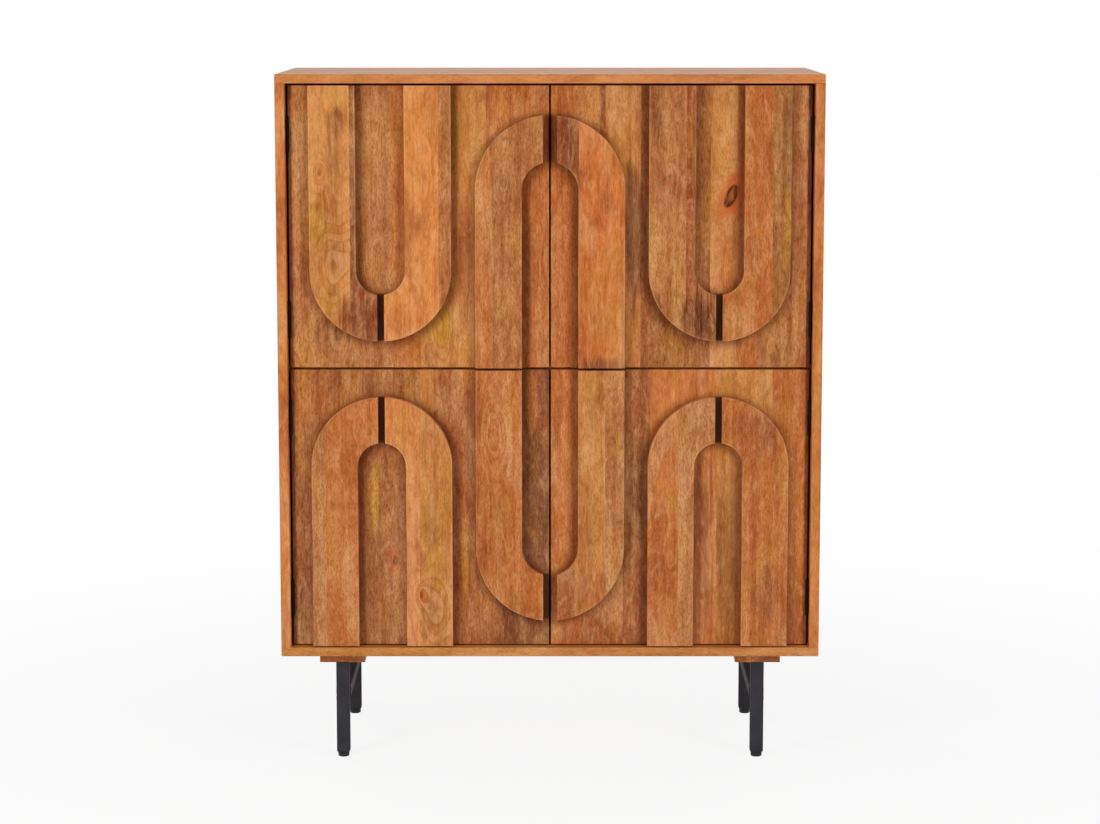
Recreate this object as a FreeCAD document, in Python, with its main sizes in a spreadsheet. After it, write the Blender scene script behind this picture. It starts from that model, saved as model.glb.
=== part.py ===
import FreeCAD, Part
import math
import os
import Sketcher

# Tall sideboard: a case with four inset doors on two steel leg frames, in millimetres.
# The origin is on the floor below the middle of the case, +Z is up and the doors face -Y.

doc = FreeCAD.newDocument("TallSideboard")
sheet = doc.addObject("Spreadsheet::Sheet", "Sizes")
sub_parts = []


class Size:
    """A number together with the spreadsheet formula that it comes from."""

    def __init__(self, number, formula):
        self.number = number
        self.formula = formula

    def __add__(self, other):
        other = as_size(other)
        return Size(self.number + other.number, f"({self.formula} + {other.formula})")

    def __sub__(self, other):
        other = as_size(other)
        return Size(self.number - other.number, f"({self.formula} - {other.formula})")

    def __mul__(self, other):
        other = as_size(other)
        return Size(self.number * other.number, f"({self.formula} * {other.formula})")

    def __truediv__(self, other):
        other = as_size(other)
        return Size(self.number / other.number, f"({self.formula} / {other.formula})")

    def __neg__(self):
        return Size(-self.number, f"(-1 * {self.formula})")

    __radd__ = __add__
    __rmul__ = __mul__


def as_size(value):
    return value if isinstance(value, Size) else Size(value, f"({value})")


def size(alias, number):
    """Writes one driving dimension into the sheet and returns it."""
    row = len(sheet.getUsedCells()) // 2 + 1
    sheet.set(f"A{row}", alias)
    sheet.set(f"B{row}", str(number))
    sheet.setAlias(f"B{row}", alias)
    return Size(number, f"Sizes.{alias}")


ZERO = as_size(0)

# Case
case_width = size("case_width", 900)
case_depth = size("case_depth", 400)
total_height = size("total_height", 1150)
case_clearance = size("case_clearance", 180)
side_thickness = size("side_thickness", 16)
board_thickness = size("board_thickness", 15)
board_round = size("board_round", 1.2)
back_thickness = size("back_thickness", 6)
rebate_lap = size("rebate_lap", 8)
back_clearance = size("back_clearance", 0.4)

# Doors
door_recess = size("door_recess", 18)
door_thickness = size("door_thickness", 18)
door_round = size("door_round", 0.8)
side_gap = size("side_gap", 3)
centre_gap = size("centre_gap", 3)
middle_gap = size("middle_gap", 4)
top_gap = size("top_gap", 3.5)
bottom_gap = size("bottom_gap", 2)

# Raised arches
arch_thickness = size("arch_thickness", 15)
arch_round = size("arch_round", 1.6)
arch_slot = size("arch_slot", 11.5)
arch_margin = size("arch_margin", 44.5)
loop_slot = size("loop_slot", 23)
loop_top_margin = size("loop_top_margin", 48)
loop_bottom_margin = size("loop_bottom_margin", 43)

# Shares of a door's width that the arches and the long loop take
arch_edge_share = size("arch_edge_share", 0.0803)
arch_radius_share = size("arch_radius_share", 0.2724)
arch_band_share = size("arch_band_share", 0.1793)
loop_radius_share = size("loop_radius_share", 0.2875)

# Shelves
shelf_thickness = size("shelf_thickness", 16)
shelf_round = size("shelf_round", 1)
stop_gap = size("stop_gap", 0.5)
shelf_end_gap = size("shelf_end_gap", 1)
shelf_back_gap = size("shelf_back_gap", 2)
shelf_setback = size("shelf_setback", 20)
pin_radius = size("pin_radius", 2.5)
pin_length = size("pin_length", 9)
pin_fit = size("pin_fit", 0.05)
pin_hole_spare = size("pin_hole_spare", 1)
tongue_length = size("tongue_length", 12)
tongue_width = size("tongue_width", 10)
tongue_thickness = size("tongue_thickness", 2)
pin_row_inset = size("pin_row_inset", 55)
pin_step = size("pin_step", 32)

# Battens and leg frames
batten_width = size("batten_width", 76)
batten_thickness = size("batten_thickness", 16)
batten_round = size("batten_round", 1)
batten_front_setback = size("batten_front_setback", 26)
batten_tail = size("batten_tail", 2)
tube_width = size("tube_width", 22)
tube_wall = size("tube_wall", 1.5)
tube_round = size("tube_round", 2.5)
leg_end_setback = size("leg_end_setback", 89.5)
leg_front_setback = size("leg_front_setback", 25)
leg_back_setback = size("leg_back_setback", 49)
leg_cap = size("leg_cap", 4)
stretcher_bottom = size("stretcher_bottom", 94)
bolt_radius = size("bolt_radius", 4)
bolt_head_radius = size("bolt_head_radius", 7)
bolt_head_height = size("bolt_head_height", 5)
bolt_bite = size("bolt_bite", 10)
bolt_fit = size("bolt_fit", 0.1)

# End plugs and levelling feet
foot_radius = size("foot_radius", 9.5)
foot_height = size("foot_height", 7.5)
foot_round = size("foot_round", 2.5)
foot_gap = size("foot_gap", 0.5)
stud_radius = size("stud_radius", 4)
stud_length = size("stud_length", 26)
stud_fit = size("stud_fit", 0.05)
plug_flange = size("plug_flange", 4)
plug_chamfer = size("plug_chamfer", 2.2)
plug_stem = size("plug_stem", 14)
plug_fit = size("plug_fit", 0.05)

# Hinges
hinge_height = size("hinge_height", 60)
hinge_inset = size("hinge_inset", 80)
barrel_radius = size("barrel_radius", 3)
barrel_gap = size("barrel_gap", 0.3)
knuckle_gap = size("knuckle_gap", 0.2)
hinge_pin_radius = size("hinge_pin_radius", 1.5)
hinge_pin_fit = size("hinge_pin_fit", 0.05)
leaf_thickness = size("leaf_thickness", 1.4)
leaf_margin = size("leaf_margin", 1)
knuckle_share = size("knuckle_share", 0.3333)

# Catches
catch_width = size("catch_width", 48)
catch_height = size("catch_height", 14)
catch_length = size("catch_length", 20)
catch_round = size("catch_round", 1.5)
pole_width = size("pole_width", 16)
pole_height = size("pole_height", 9)
pole_thickness = size("pole_thickness", 1.5)
pole_centre = size("pole_centre", 13)
strike_width = size("strike_width", 20)
strike_height = size("strike_height", 12)
strike_thickness = size("strike_thickness", 1.2)
strike_round = size("strike_round", 2)
catch_gap = size("catch_gap", 0.3)

# How far a cut runs past the face that it leaves by
overrun = size("overrun", 2)

# Places that several pieces share
front = -case_depth / 2
back = case_depth / 2
case_bottom = case_clearance
opening_half = case_width / 2 - side_thickness
opening_bottom = case_bottom + board_thickness
opening_top = total_height - board_thickness
opening_height = opening_top - opening_bottom
back_inner = back - back_thickness

panel_front = front + door_recess
panel_back = panel_front + door_thickness
door_width = (opening_half * 2 - side_gap * 2 - centre_gap) / 2
door_height = (opening_height - top_gap - middle_gap - bottom_gap) / 2
lower_door_bottom = opening_bottom + bottom_gap
lower_door_top = lower_door_bottom + door_height
upper_door_bottom = lower_door_top + middle_gap

arch_radius = door_width * arch_radius_share
arch_band = door_width * arch_band_share
arch_centre = opening_half - side_gap - door_width * arch_edge_share - arch_radius
loop_radius = door_width * loop_radius_share

middle_shelf_bottom = lower_door_top + middle_gap / 2 - shelf_thickness / 2
middle_shelf_top = middle_shelf_bottom + shelf_thickness
lower_shelf_bottom = (opening_bottom + middle_shelf_bottom) / 2 - shelf_thickness / 2
upper_shelf_bottom = (middle_shelf_top + opening_top) / 2 - shelf_thickness / 2
loose_shelf_front = panel_back + shelf_setback
loose_shelf_back = back_inner - shelf_back_gap

batten_bottom = case_bottom - batten_thickness
leg_centre = case_width / 2 - leg_end_setback - tube_width / 2
front_leg_y = front + leg_front_setback + tube_width / 2
back_leg_y = back - leg_back_setback - tube_width / 2
leg_pitch = back_leg_y - front_leg_y
plug_bottom = foot_height + foot_gap
tube_bottom = plug_bottom + plug_flange

hinge_axis_x = opening_half - barrel_radius - barrel_gap
hinge_axis_y = panel_front - barrel_radius - barrel_gap
pole_front = panel_back + strike_thickness + catch_gap

SIDES = (("left", -1), ("right", 1))
ENDS = (("front", front_leg_y), ("back", back_leg_y))
TIERS = ("upper", "lower")
DOOR_BOTTOM = {"upper": upper_door_bottom, "lower": lower_door_bottom}
CATCH_TOP = {"upper": opening_top, "lower": middle_shelf_bottom}
SHELF_BOTTOM = {"upper": upper_shelf_bottom, "lower": lower_shelf_bottom}
HALF_TURN_Y = FreeCAD.Rotation(FreeCAD.Vector(0, 1, 0), 180)
HALF_TURN_Z = FreeCAD.Rotation(FreeCAD.Vector(0, 0, 1), 180)
NO_TURN = FreeCAD.Rotation()
QUARTER_TURN = 90
SAME_PLACE = 1e-4
ALONG_X = FreeCAD.Rotation(FreeCAD.Vector(0, 1, 0), 90)


# Document helpers
def bind(item, path, value):
    item.setExpression(path, as_size(value).formula)


def place(item, x=ZERO, y=ZERO, z=ZERO, turn=NO_TURN):
    item.Placement = FreeCAD.Placement(FreeCAD.Vector(x.number, y.number, z.number), turn)
    for axis, value in zip("xyz", (x, y, z)):
        bind(item, f"Placement.Base.{axis}", value)


def sub_part(item):
    sub_parts.append(item)
    return item


def new_body(label, x=ZERO, y=ZERO, z=ZERO):
    body = doc.addObject("PartDesign::Body", label)
    place(body, x, y, z)
    return body


def origin_item(body, role):
    return next(item for item in body.Origin.OriginFeatures if item.Role == role)


def new_sketch(body, role):
    sketch = body.newObject("Sketcher::SketchObject", f"{body.Name}_sketch")
    sketch.AttachmentSupport = [(origin_item(body, role), "")]
    sketch.MapMode = "FlatFace"
    return sketch


def dimension(sketch, kind, value, *refs):
    index = sketch.addConstraint(Sketcher.Constraint(kind, *refs, value.number))
    bind(sketch, f"Constraints[{index}]", value)


def pin_point(sketch, geometry, end, x, y):
    dimension(sketch, "DistanceX", x, -1, 1, geometry, end)
    dimension(sketch, "DistanceY", y, -1, 1, geometry, end)


def vector(x, y):
    return FreeCAD.Vector(x.number, y.number, 0)


def polygon(sketch, corners):
    """Draws a closed outline whose corners are all dimensioned from the origin."""
    count = len(corners)
    lines = []
    for index, corner in enumerate(corners):
        following = corners[(index + 1) % count]
        lines.append(sketch.addGeometry(Part.LineSegment(vector(*corner), vector(*following))))
    for index, line in enumerate(lines):
        sketch.addConstraint(Sketcher.Constraint("Coincident", line, 2, lines[(index + 1) % count], 1))
    for line, corner in zip(lines, corners):
        pin_point(sketch, line, 1, *corner)


def rectangle(sketch, left, right, low, high):
    polygon(sketch, [(left, low), (right, low), (right, high), (left, high)])


def circle(sketch, x, y, radius):
    index = sketch.addGeometry(Part.Circle(vector(x, y), FreeCAD.Vector(0, 0, 1), radius.number))
    pin_point(sketch, index, 3, x, y)
    dimension(sketch, "Radius", radius, index)


def pad(body, sketch, length, backwards=False):
    feature = body.newObject("PartDesign::Pad", f"{body.Name}_pad")
    feature.Profile = sketch
    bind(feature, "Length", length)
    feature.Reversed = backwards
    doc.recompute()
    return feature


def pocket(body, sketch, depth=None, backwards=False):
    """Cuts the sketch to a depth, or through the whole piece where no depth is given."""
    before = body.Shape.Volume
    feature = body.newObject("PartDesign::Pocket", f"{body.Name}_pocket")
    feature.Profile = sketch
    feature.Reversed = backwards
    if depth is None:
        feature.Type = "ThroughAll"
    else:
        bind(feature, "Length", depth)
    doc.recompute()
    if not 0 < body.Shape.Volume < before:
        raise RuntimeError(f"{feature.Name} cuts nothing, or everything")
    return feature


def ease(body, feature, kind, radius, chosen):
    """Rounds (Fillet) or bevels (Chamfer) the chosen edges of a feature."""
    names = [f"Edge{index}" for index, edge in enumerate(feature.Shape.Edges, 1) if chosen(edge)]
    result = body.newObject(f"PartDesign::{kind}", f"{body.Name}_{kind.lower()}")
    result.Base = (feature, names)
    bind(result, "Radius" if kind == "Fillet" else "Size", radius)
    doc.recompute()
    return result


def lies_on(axis, value):
    """A test for edges that lie in the plane where the given axis has the given value."""
    def test(edge):
        places = [getattr(point, axis) for point in edge.discretize(3)]
        return all(math.isclose(place, value.number, abs_tol=SAME_PLACE) for place in places)
    return test


def runs_along(axis):
    def test(edge):
        start, end = edge.discretize(2)
        step = end - start
        return math.isclose(abs(getattr(step, axis)), step.Length, abs_tol=SAME_PLACE)
    return test


def off_axis(radius):
    """A test for edges that lie wholly further than a radius from the body's own Z axis."""
    return lambda edge: min(math.hypot(p.x, p.y) for p in edge.discretize(3)) > radius.number + SAME_PLACE


def either(*tests):
    return lambda edge: any(test(edge) for test in tests)


def both(*tests):
    return lambda edge: all(test(edge) for test in tests)


def group(label, source, places):
    """Gathers linked copies of one piece, each at its own place and turn, under one label."""
    links = []
    for x, y, z, turn in places:
        link = doc.addObject("App::Link", f"{label}_copy")
        link.LinkedObject = source
        link.LinkTransform = True
        place(link, x, y, z, turn)
        links.append(link)
    compound = doc.addObject("Part::Compound", label)
    compound.Links = links
    return sub_part(compound)


def box(label, x, y, z):
    """A plain block between three pairs of values."""
    item = doc.addObject("Part::Box", label)
    for name, pair in zip(("Length", "Width", "Height"), (x, y, z)):
        bind(item, name, pair[1] - pair[0])
    place(item, x[0], y[0], z[0])
    return item


def cylinder(label, radius, height, z=ZERO, turn=NO_TURN):
    item = doc.addObject("Part::Cylinder", label)
    bind(item, "Radius", radius)
    bind(item, "Height", height)
    place(item, ZERO, ZERO, z, turn)
    return item


def fuse(label, items):
    result = doc.addObject("Part::MultiFuse", label)
    result.Shapes = items
    return result


def cut(label, base, tool):
    result = doc.addObject("Part::Cut", label)
    result.Base = base
    result.Tool = tool
    return result


# Case boards
def end_board(label, bottom, rebate_from_top):
    """The top or bottom board: full width, with a stopped rebate for the back at its inner face."""
    body = new_body(label, z=bottom)
    outline = new_sketch(body, "XY_Plane")
    rectangle(outline, -case_width / 2, case_width / 2, front, back)
    board = pad(body, outline, board_thickness)
    outer_face = lies_on("z", ZERO if rebate_from_top else board_thickness)
    ease(body, board, "Fillet", board_round, either(outer_face, lies_on("y", front)))
    rebate = new_sketch(body, "XY_Plane")
    reach = opening_half + rebate_lap
    rectangle(rebate, -reach, reach, back_inner, back)
    if rebate_from_top:
        bind(rebate, "AttachmentOffset.Base.z", board_thickness)
    pocket(body, rebate, rebate_lap, backwards=not rebate_from_top)
    if rebate_from_top:
        # The leg bolts end in the bottom board.
        holes = new_sketch(body, "XY_Plane")
        for _, sign in SIDES:
            for _, leg_y in ENDS:
                circle(holes, leg_centre * sign, leg_y, bolt_radius + bolt_fit)
        pocket(body, holes, bolt_bite, backwards=True)
    return sub_part(body)


def pin_rows():
    """The front and back rows of shelf pin holes, measured from the loose shelf's edges."""
    return (loose_shelf_front + pin_row_inset, loose_shelf_back - pin_row_inset)


def pin_height(tier):
    return SHELF_BOTTOM[tier] - tongue_thickness / 2


def side_panel(name, sign):
    body = new_body(f"{name}_side_panel", x=opening_half * sign, z=opening_bottom)
    outer = side_thickness * sign
    step = rebate_lap * sign
    outline = new_sketch(body, "XY_Plane")
    polygon(outline, [(ZERO, front), (outer, front), (outer, back), (step, back),
                      (step, back_inner), (ZERO, back_inner)])
    board = pad(body, outline, opening_height)
    ease(body, board, "Fillet", board_round, both(lies_on("y", front), runs_along("z")))
    holes = new_sketch(body, "YZ_Plane")
    for tier in TIERS:
        for row in pin_rows():
            for step_count in (-1, 0, 1):
                height = pin_height(tier) + pin_step * step_count - opening_bottom
                circle(holes, row, height, pin_radius + pin_fit)
    pocket(body, holes, pin_length + pin_hole_spare, backwards=sign > 0)
    return sub_part(body)


def back_panel():
    body = new_body("back_panel", y=back)
    lap = rebate_lap - back_clearance
    outline = new_sketch(body, "XZ_Plane")
    rectangle(outline, -opening_half - lap, opening_half + lap, opening_bottom - lap, opening_top + lap)
    pad(body, outline, back_thickness)
    return sub_part(body)


def shelf(label, bottom, half_width, near, far):
    body = new_body(label, z=bottom)
    outline = new_sketch(body, "XY_Plane")
    rectangle(outline, -half_width, half_width, near, far)
    board = pad(body, outline, shelf_thickness)
    ease(body, board, "Fillet", shelf_round, both(lies_on("y", near), runs_along("x")))
    return sub_part(body)


def shelf_pins():
    """Eight spoon pins: a round stem in the side board and a flat tongue under the shelf."""
    stem = cylinder("pin_stem", pin_radius, pin_length, turn=ALONG_X)
    half_tongue = tongue_thickness / 2
    tongue = box("pin_tongue", (-tongue_length, ZERO), (-tongue_width / 2, tongue_width / 2),
                 (-half_tongue, half_tongue))
    pin = fuse("shelf_pin", [stem, tongue])
    places = []
    for tier in TIERS:
        for row in pin_rows():
            places.append((opening_half, row, pin_height(tier), NO_TURN))
            places.append((-opening_half, row, pin_height(tier), HALF_TURN_Z))
    group("shelf_pins", pin, places)


# Doors
def rounded_section(sketch, left, right, depth, radius):
    """A board's cross-section in front of y = 0, with its two front corners rounded."""
    straight = radius - depth
    corners = []
    for x, direction in ((left, -1), (right, 1)):
        centre_x = x - radius * direction
        centre = vector(centre_x, straight)
        beside = vector(x, straight)
        below = vector(centre_x, -depth)
        ends = [beside, below] if direction < 0 else [below, beside]
        half_way = centre + FreeCAD.Vector(direction, -1, 0).normalize() * radius.number
        arc = sketch.addGeometry(Part.Arc(ends[0], half_way, ends[1]))
        at_side, at_front = (1, 2) if direction < 0 else (2, 1)
        pin_point(sketch, arc, 3, centre_x, straight)
        dimension(sketch, "Radius", radius, arc)
        sketch.addConstraint(Sketcher.Constraint("Horizontal", arc, 3, arc, at_side))
        sketch.addConstraint(Sketcher.Constraint("Vertical", arc, 3, arc, at_front))
        corners.append((arc, at_side, at_front, beside, below))
    (left_arc, left_side, left_front, left_beside, left_below) = corners[0]
    (right_arc, right_side, right_front, right_beside, right_below) = corners[1]
    foot_left = vector(left, ZERO)
    foot_right = vector(right, ZERO)
    base = sketch.addGeometry(Part.LineSegment(foot_left, foot_right))
    right_edge = sketch.addGeometry(Part.LineSegment(foot_right, right_beside))
    face = sketch.addGeometry(Part.LineSegment(right_below, left_below))
    left_edge = sketch.addGeometry(Part.LineSegment(left_beside, foot_left))
    pin_point(sketch, base, 1, left, ZERO)
    pin_point(sketch, base, 2, right, ZERO)
    meetings = ((base, 2, right_edge, 1), (right_edge, 2, right_arc, right_side),
                (face, 1, right_arc, right_front), (face, 2, left_arc, left_front),
                (left_edge, 1, left_arc, left_side), (left_edge, 2, base, 1))
    for meeting in meetings:
        sketch.addConstraint(Sketcher.Constraint("Coincident", *meeting))


def arch_piece(label, centre_x, centre_z, radius, slot, side, crown, bar_end):
    """Half of a raised arch: a straight bar on one side of the centre and a quarter ring at its crown.

    side is -1 or 1 for the bar's side of the centre, crown is 1 where the ring is above the
    bar and -1 where it is below. One rounded section is padded for the bar and revolved about
    the arch's centre for the ring, and the slot then takes the ring back from the centre line.
    """
    body = new_body(label, x=centre_x, y=panel_front, z=centre_z)
    inner = radius - arch_band
    section = new_sketch(body, "XY_Plane")
    left, right = (inner, radius) if side > 0 else (-radius, -inner)
    rounded_section(section, left, right, arch_thickness, arch_round)
    pad(body, section, (centre_z - bar_end) * crown, backwards=crown > 0)
    ring = body.newObject("PartDesign::Revolution", f"{body.Name}_ring")
    ring.Profile = section
    ring.ReferenceAxis = (origin_item(body, "Y_Axis"), [""])
    ring.Angle = QUARTER_TURN
    ring.Reversed = side == crown
    doc.recompute()
    slot_outline = new_sketch(body, "XZ_Plane")
    ends = sorted((-overrun * side, slot / 2 * side), key=lambda end: end.number)
    heights = sorted((ZERO, (radius + overrun) * crown), key=lambda height: height.number)
    rectangle(slot_outline, *ends, *heights)
    pocket(body, slot_outline, backwards=True)
    return sub_part(body)


def door(tier, name, sign):
    prefix = f"{tier}_{name}"
    low = DOOR_BOTTOM[tier]
    high = low + door_height
    near_x = centre_gap / 2 * sign
    far_x = near_x + door_width * sign

    body = new_body(f"{prefix}_door_panel", y=panel_back)
    outline = new_sketch(body, "XZ_Plane")
    rectangle(outline, near_x, far_x, low, high)
    board = pad(body, outline, door_thickness)
    ease(body, board, "Fillet", door_round, lies_on("y", -door_thickness))
    sub_part(body)

    arch_x = arch_centre * sign
    if tier == "upper":
        arch_crown, arch_end, arch_z = -1, high, low + arch_margin + arch_radius
        loop_crown, loop_end, loop_z = 1, low, high - loop_top_margin - loop_radius
    else:
        arch_crown, arch_end, arch_z = 1, low, high - arch_margin - arch_radius
        loop_crown, loop_end, loop_z = -1, high, low + loop_bottom_margin + loop_radius
    for half, side in (("outer", sign), ("inner", -sign)):
        arch_piece(f"{prefix}_arch_{half}_half", arch_x, arch_z, arch_radius, arch_slot, side,
                   arch_crown, arch_end)
    arch_piece(f"{prefix}_loop_quarter", ZERO, loop_z, loop_radius, loop_slot, sign, loop_crown, loop_end)
    strike_plate(prefix, tier, sign)


def strike_plate(prefix, tier, sign):
    middle_x = pole_centre * sign
    middle_z = CATCH_TOP[tier] - catch_height / 2
    body = new_body(f"{prefix}_strike_plate", y=panel_back + strike_thickness)
    outline = new_sketch(body, "XZ_Plane")
    rectangle(outline, middle_x - strike_width / 2, middle_x + strike_width / 2,
              middle_z - strike_height / 2, middle_z + strike_height / 2)
    plate = pad(body, outline, strike_thickness)
    ease(body, plate, "Fillet", strike_round, runs_along("y"))
    return sub_part(body)


# Hinges
def hinge_leaf(label, near, far, length, knuckles):
    """One leaf about the hinge axis: a plate behind the barrel, joined to its own knuckles.

    near and far are the plate's faces across the gap, as distances from the axis towards the
    side board. knuckles holds the bottom and top of each knuckle.
    """
    half = hinge_height / 2
    reach = barrel_radius + barrel_gap
    faces = (-far, -near)
    pieces = [box(f"{label}_plate", faces, (reach, length), (-half, half))]
    for low, high in knuckles:
        pieces.append(box(f"{label}_tab", faces, (ZERO, reach), (low, high)))
        pieces.append(cylinder(f"{label}_knuckle", barrel_radius, high - low, z=low))
    bore = cylinder(f"{label}_bore", hinge_pin_radius + hinge_pin_fit, hinge_height, z=-half)
    return cut(label, fuse(f"{label}_solid", pieces), bore)


def hinge_places(tier, sign):
    """The middles of a door's two hinges, with the turn that suits the door's side."""
    low = DOOR_BOTTOM[tier]
    turn = NO_TURN if sign < 0 else HALF_TURN_Y
    heights = (low + hinge_inset, low + door_height - hinge_inset)
    return [(hinge_axis_x * sign, hinge_axis_y, height, turn) for height in heights]


def hinges():
    half = hinge_height / 2
    joint = half * knuckle_share
    outer_knuckles = [(-half, -joint), (joint, half)]
    middle_knuckle = [(knuckle_gap - joint, joint - knuckle_gap)]
    to_case = barrel_radius + barrel_gap
    to_door = to_case - side_gap
    leaf_end = panel_back - hinge_axis_y - leaf_margin
    case_leaf = hinge_leaf("case_leaf", to_case - leaf_thickness, to_case, leaf_end, outer_knuckles)
    door_leaf = hinge_leaf("door_leaf", to_door, to_door + leaf_thickness, leaf_end, middle_knuckle)
    pin = cylinder("hinge_pin", hinge_pin_radius, hinge_height, z=-half)
    places = [place for tier in TIERS for _, sign in SIDES for place in hinge_places(tier, sign)]
    group("hinge_case_leaves", case_leaf, places)
    group("hinge_pins", pin, places)
    for tier in TIERS:
        for name, sign in SIDES:
            group(f"{tier}_{name}_hinge_door_leaves", door_leaf, hinge_places(tier, sign))


# Catches
def catch(tier):
    """A twin magnetic catch under the board above the doors, with a pole plate for each door."""
    top = CATCH_TOP[tier]
    housing_front = pole_front + pole_thickness
    body = new_body(f"{tier}_catch", z=top - catch_height)
    outline = new_sketch(body, "XY_Plane")
    rectangle(outline, -catch_width / 2, catch_width / 2, housing_front, housing_front + catch_length)
    block = pad(body, outline, catch_height)
    ease(body, block, "Fillet", catch_round, either(runs_along("z"), lies_on("z", ZERO)))
    return sub_part(body)


def catch_pole_plates():
    half = pole_width / 2
    plate = box("pole_plate", (-half, half), (ZERO, pole_thickness), (-pole_height / 2, pole_height / 2))
    places = []
    for tier in TIERS:
        for _, sign in SIDES:
            places.append((pole_centre * sign, pole_front, CATCH_TOP[tier] - catch_height / 2, NO_TURN))
    group("catch_pole_plates", plate, places)


# Battens and leg frames
def batten(name, sign):
    body = new_body(f"{name}_batten", x=leg_centre * sign, z=batten_bottom)
    outline = new_sketch(body, "XY_Plane")
    near = front + batten_front_setback
    far = back_leg_y + tube_width / 2 + batten_tail
    rectangle(outline, -batten_width / 2, batten_width / 2, near, far)
    board = pad(body, outline, batten_thickness)
    ease(body, board, "Fillet", batten_round, either(lies_on("z", ZERO), runs_along("z")))
    holes = new_sketch(body, "XY_Plane")
    for _, leg_y in ENDS:
        circle(holes, ZERO, leg_y, bolt_radius + bolt_fit)
    pocket(body, holes, backwards=True)
    return sub_part(body)


def leg(end, leg_y, name, sign):
    """A square tube with a closed top that the bolt passes through, open below for its plug."""
    body = new_body(f"{end}_{name}_leg", x=leg_centre * sign, y=leg_y, z=tube_bottom)
    half = tube_width / 2
    length = batten_bottom - tube_bottom
    outline = new_sketch(body, "XY_Plane")
    rectangle(outline, -half, half, -half, half)
    tube = pad(body, outline, length)
    ease(body, tube, "Fillet", tube_round, runs_along("z"))
    bore = half - tube_wall
    hollow = new_sketch(body, "XY_Plane")
    rectangle(hollow, -bore, bore, -bore, bore)
    pocket(body, hollow, length - leg_cap, backwards=True)
    hole = new_sketch(body, "XY_Plane")
    circle(hole, ZERO, ZERO, bolt_radius + bolt_fit)
    pocket(body, hole, backwards=True)
    return sub_part(body)


def stretcher(name, sign):
    half = tube_width / 2
    length = leg_pitch - tube_width
    body = new_body(f"{name}_stretcher", x=leg_centre * sign, y=back_leg_y - half,
                    z=stretcher_bottom + half)
    outline = new_sketch(body, "XZ_Plane")
    rectangle(outline, -half, half, -half, half)
    tube = pad(body, outline, length)
    ease(body, tube, "Fillet", tube_round, runs_along("y"))
    bore = half - tube_wall
    hollow = new_sketch(body, "XZ_Plane")
    rectangle(hollow, -bore, bore, -bore, bore)
    pocket(body, hollow, backwards=True)
    return sub_part(body)


def leg_places(z):
    return [(leg_centre * sign, leg_y, z, NO_TURN) for _, leg_y in ENDS for _, sign in SIDES]


def leg_bolts():
    head = doc.addObject("Part::Prism", "bolt_head")
    head.Polygon = 6
    bind(head, "Circumradius", bolt_head_radius)
    bind(head, "Height", bolt_head_height)
    place(head, z=-bolt_head_height)
    shank = cylinder("bolt_shank", bolt_radius, leg_cap + batten_thickness + bolt_bite)
    group("leg_bolts", fuse("leg_bolt", [head, shank]), leg_places(batten_bottom - leg_cap))


def leg_plugs():
    """End plugs: a stem inside the tube and a bevelled flange that closes its end."""
    body = new_body("leg_plug")
    half = tube_width / 2
    bore = stud_radius + stud_fit
    flange_outline = new_sketch(body, "XY_Plane")
    rectangle(flange_outline, -half, half, -half, half)
    circle(flange_outline, ZERO, ZERO, bore)
    flange = pad(body, flange_outline, plug_flange)
    corners = both(runs_along("z"), off_axis(bore))
    rounded = ease(body, flange, "Fillet", tube_round, corners)
    ease(body, rounded, "Chamfer", plug_chamfer, both(lies_on("z", ZERO), off_axis(bore)))
    stem_half = half - tube_wall - plug_fit
    stem_outline = new_sketch(body, "XY_Plane")
    rectangle(stem_outline, -stem_half, stem_half, -stem_half, stem_half)
    circle(stem_outline, ZERO, ZERO, bore)
    bind(stem_outline, "AttachmentOffset.Base.z", plug_flange)
    pad(body, stem_outline, plug_stem)
    group("leg_plugs", body, leg_places(plug_bottom))


def foot(end, leg_y, name, sign):
    """A levelling foot: a round pad turned with its stud, which runs up into the plug."""
    body = new_body(f"{end}_{name}_foot", x=leg_centre * sign, y=leg_y)
    profile = new_sketch(body, "XZ_Plane")
    polygon(profile, [(ZERO, ZERO), (foot_radius, ZERO), (foot_radius, foot_height),
                      (stud_radius, foot_height), (stud_radius, foot_height + stud_length),
                      (ZERO, foot_height + stud_length)])
    turned = body.newObject("PartDesign::Revolution", f"{body.Name}_revolution")
    turned.Profile = profile
    turned.ReferenceAxis = (profile, ["V_Axis"])
    doc.recompute()
    ease(body, turned, "Fillet", foot_round, lies_on("z", ZERO))
    return sub_part(body)


def build():
    end_board("top_panel", opening_top, rebate_from_top=False)
    end_board("bottom_panel", case_bottom, rebate_from_top=True)
    back_panel()
    shelf("middle_shelf", middle_shelf_bottom, opening_half, panel_back + stop_gap, back_inner)
    loose_half = opening_half - shelf_end_gap
    for tier in TIERS:
        shelf(f"{tier}_shelf", SHELF_BOTTOM[tier], loose_half, loose_shelf_front, loose_shelf_back)
        catch(tier)
    shelf_pins()
    catch_pole_plates()
    hinges()
    for name, sign in SIDES:
        side_panel(name, sign)
        batten(name, sign)
        stretcher(name, sign)
        for tier in TIERS:
            door(tier, name, sign)
        for end, leg_y in ENDS:
            leg(end, leg_y, name, sign)
            foot(end, leg_y, name, sign)
    leg_plugs()
    leg_bolts()


def export():
    doc.recompute()
    for item in doc.Objects:
        if "Invalid" in item.State or "Error" in item.State:
            raise RuntimeError(f"{item.Label} failed to build")
    os.makedirs("parts", exist_ok=True)
    for item in sub_parts:
        if item.Shape.isNull() or not item.Shape.isValid():
            raise RuntimeError(f"{item.Label} has no valid shape")
    for item in sub_parts:
        item.Shape.exportStep(f"parts/{item.Label}.step")
        print(item.Label, len(item.Shape.Solids), round(item.Shape.Volume / 1000, 1), "cm3")
    print(len(sub_parts), "sub-parts")


build()
export()
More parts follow.
